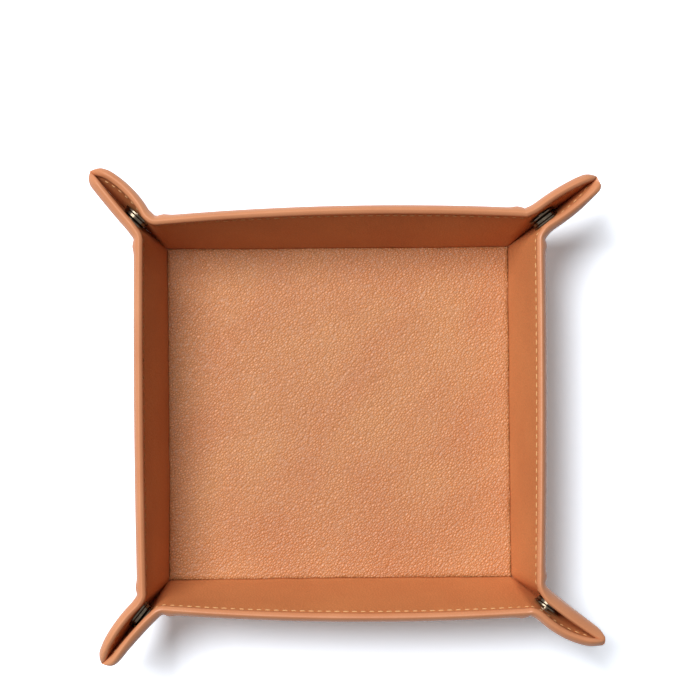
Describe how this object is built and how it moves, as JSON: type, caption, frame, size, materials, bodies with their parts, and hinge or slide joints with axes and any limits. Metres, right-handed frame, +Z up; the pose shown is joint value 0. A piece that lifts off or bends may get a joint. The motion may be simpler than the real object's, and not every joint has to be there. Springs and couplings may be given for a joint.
{
  "type": "valet tray",
  "caption": "Square snap-up valet tray of stitched tan leather: a lined floor, four leaning walls and pinched corner ears held by press studs; it opens out flat.",
  "frame": {"origin": "middle of the floor's underside", "axes": "+Z up, +X to the right, -Y to the front"},
  "size_m": [0.1883, 0.1816, 0.0398],
  "materials": {
    "outer_leather": "smooth tan full-grain leather, edges turned",
    "lining_leather": "pebbled tan leather, satin",
    "board": "grey pressed board, hidden",
    "thread": "pale waxed thread",
    "snap_metal": "nickel-plated brass"
  },
  "bodies": {
    "floor": {"floor_outer_leather": "outer_leather", "floor_board": "board", "floor_lining": "lining_leather", "front_fold_strip": "outer_leather", "right_fold_strip": "outer_leather", "back_fold_strip": "outer_leather", "left_fold_strip": "outer_leather"},
    "front_wall": {"front_wall_outer_leather": "outer_leather", "front_wall_board": "board", "front_wall_lining": "lining_leather", "front_wall_stitching": "thread"},
    "right_wall": {"right_wall_outer_leather": "outer_leather", "right_wall_board": "board", "right_wall_lining": "lining_leather", "right_wall_stitching": "thread"},
    "back_wall": {"back_wall_outer_leather": "outer_leather", "back_wall_board": "board", "back_wall_lining": "lining_leather", "back_wall_stitching": "thread"},
    "left_wall": {"left_wall_outer_leather": "outer_leather", "left_wall_board": "board", "left_wall_lining": "lining_leather", "left_wall_stitching": "thread"},
    "front_right_ear_front": {"front_right_ear_front_outer_leather": "outer_leather", "front_right_ear_front_lining": "lining_leather", "front_right_snap_socket": "snap_metal", "front_right_snap_socket_cap": "snap_metal"},
    "front_right_ear_right": {"front_right_ear_right_outer_leather": "outer_leather", "front_right_ear_right_lining": "lining_leather", "front_right_snap_stud": "snap_metal", "front_right_snap_stud_eyelet": "snap_metal"},
    "back_right_ear_right": {"back_right_ear_right_outer_leather": "outer_leather", "back_right_ear_right_lining": "lining_leather", "back_right_snap_socket": "snap_metal", "back_right_snap_socket_cap": "snap_metal"},
    "back_right_ear_back": {"back_right_ear_back_outer_leather": "outer_leather", "back_right_ear_back_lining": "lining_leather", "back_right_snap_stud": "snap_metal", "back_right_snap_stud_eyelet": "snap_metal"},
    "back_left_ear_back": {"back_left_ear_back_outer_leather": "outer_leather", "back_left_ear_back_lining": "lining_leather", "back_left_snap_socket": "snap_metal", "back_left_snap_socket_cap": "snap_metal"},
    "back_left_ear_left": {"back_left_ear_left_outer_leather": "outer_leather", "back_left_ear_left_lining": "lining_leather", "back_left_snap_stud": "snap_metal", "back_left_snap_stud_eyelet": "snap_metal"},
    "front_left_ear_left": {"front_left_ear_left_outer_leather": "outer_leather", "front_left_ear_left_lining": "lining_leather", "front_left_snap_socket": "snap_metal", "front_left_snap_socket_cap": "snap_metal"},
    "front_left_ear_front": {"front_left_ear_front_outer_leather": "outer_leather", "front_left_ear_front_lining": "lining_leather", "front_left_snap_stud": "snap_metal", "front_left_snap_stud_eyelet": "snap_metal"}
  },
  "joints": [
    {"name": "front_wall_fold", "type": "hinge", "parent": "floor", "child": "front_wall", "pos_m": [0, -0.062, 0.0033], "axis": [1, 0, 0], "range_deg": [0, 73.5], "deforming": ["front_fold_strip"]},
    {"name": "right_wall_fold", "type": "hinge", "parent": "floor", "child": "right_wall", "pos_m": [0.064, 0, 0.0033], "axis": [0, 1, 0], "range_deg": [0, 73.5], "deforming": ["right_fold_strip"]},
    {"name": "back_wall_fold", "type": "hinge", "parent": "floor", "child": "back_wall", "pos_m": [0, 0.062, 0.0033], "axis": [-1, 0, 0], "range_deg": [0, 73.5], "deforming": ["back_fold_strip"]},
    {"name": "left_wall_fold", "type": "hinge", "parent": "floor", "child": "left_wall", "pos_m": [-0.064, 0, 0.0033], "axis": [0, -1, 0], "range_deg": [0, 73.5], "deforming": ["left_fold_strip"]},
    {"name": "front_right_ear_front_fold", "type": "hinge", "parent": "front_wall", "child": "front_right_ear_front", "pos_m": [0.064, -0.062, 0.0033], "axis": [0.1315, -0.201, 0.9707], "range_deg": [0, 34.68]},
    {"name": "front_right_ear_right_fold", "type": "hinge", "parent": "right_wall", "child": "front_right_ear_right", "pos_m": [0.064, -0.062, 0.0033], "axis": [-0.2027, 0.0364, -0.9786], "range_deg": [0, 51.74]},
    {"name": "back_right_ear_right_fold", "type": "hinge", "parent": "right_wall", "child": "back_right_ear_right", "pos_m": [0.064, 0.062, 0.0033], "axis": [0.2026, 0.0405, 0.9784], "range_deg": [0, 50.79]},
    {"name": "back_right_ear_back_fold", "type": "hinge", "parent": "back_wall", "child": "back_right_ear_back", "pos_m": [0.064, 0.062, 0.0033], "axis": [-0.1245, -0.2012, -0.9716], "range_deg": [0, 35.62]},
    {"name": "back_left_ear_back_fold", "type": "hinge", "parent": "back_wall", "child": "back_left_ear_back", "pos_m": [-0.064, 0.062, 0.0033], "axis": [-0.0879, 0.202, 0.9754], "range_deg": [0, 41.32]},
    {"name": "back_left_ear_left_fold", "type": "hinge", "parent": "left_wall", "child": "back_left_ear_left", "pos_m": [-0.064, 0.062, 0.0033], "axis": [0.2023, -0.0674, -0.977], "range_deg": [0, 45.11]},
    {"name": "front_left_ear_left_fold", "type": "hinge", "parent": "left_wall", "child": "front_left_ear_left", "pos_m": [-0.064, -0.062, 0.0033], "axis": [-0.2015, -0.1113, 0.9731], "range_deg": [0, 37.52]},
    {"name": "front_left_ear_front_fold", "type": "hinge", "parent": "front_wall", "child": "front_left_ear_front", "pos_m": [-0.064, -0.062, 0.0033], "axis": [0.0491, 0.2025, -0.978], "range_deg": [0, 48.9]}
  ],
  "couplings": [
    {"joint": "right_wall_fold", "follows": "front_wall_fold", "ratio": 1},
    {"joint": "back_wall_fold", "follows": "front_wall_fold", "ratio": 1},
    {"joint": "left_wall_fold", "follows": "front_wall_fold", "ratio": 1},
    {"joint": "front_right_ear_front_fold", "follows": "front_wall_fold", "ratio": 0.47179},
    {"joint": "front_right_ear_right_fold", "follows": "front_wall_fold", "ratio": 0.7039},
    {"joint": "back_right_ear_right_fold", "follows": "front_wall_fold", "ratio": 0.69107},
    {"joint": "back_right_ear_back_fold", "follows": "front_wall_fold", "ratio": 0.48466},
    {"joint": "back_left_ear_back_fold", "follows": "front_wall_fold", "ratio": 0.56213},
    {"joint": "back_left_ear_left_fold", "follows": "front_wall_fold", "ratio": 0.61379},
    {"joint": "front_left_ear_left_fold", "follows": "front_wall_fold", "ratio": 0.51047},
    {"joint": "front_left_ear_front_fold", "follows": "front_wall_fold", "ratio": 0.66535}
  ]
}
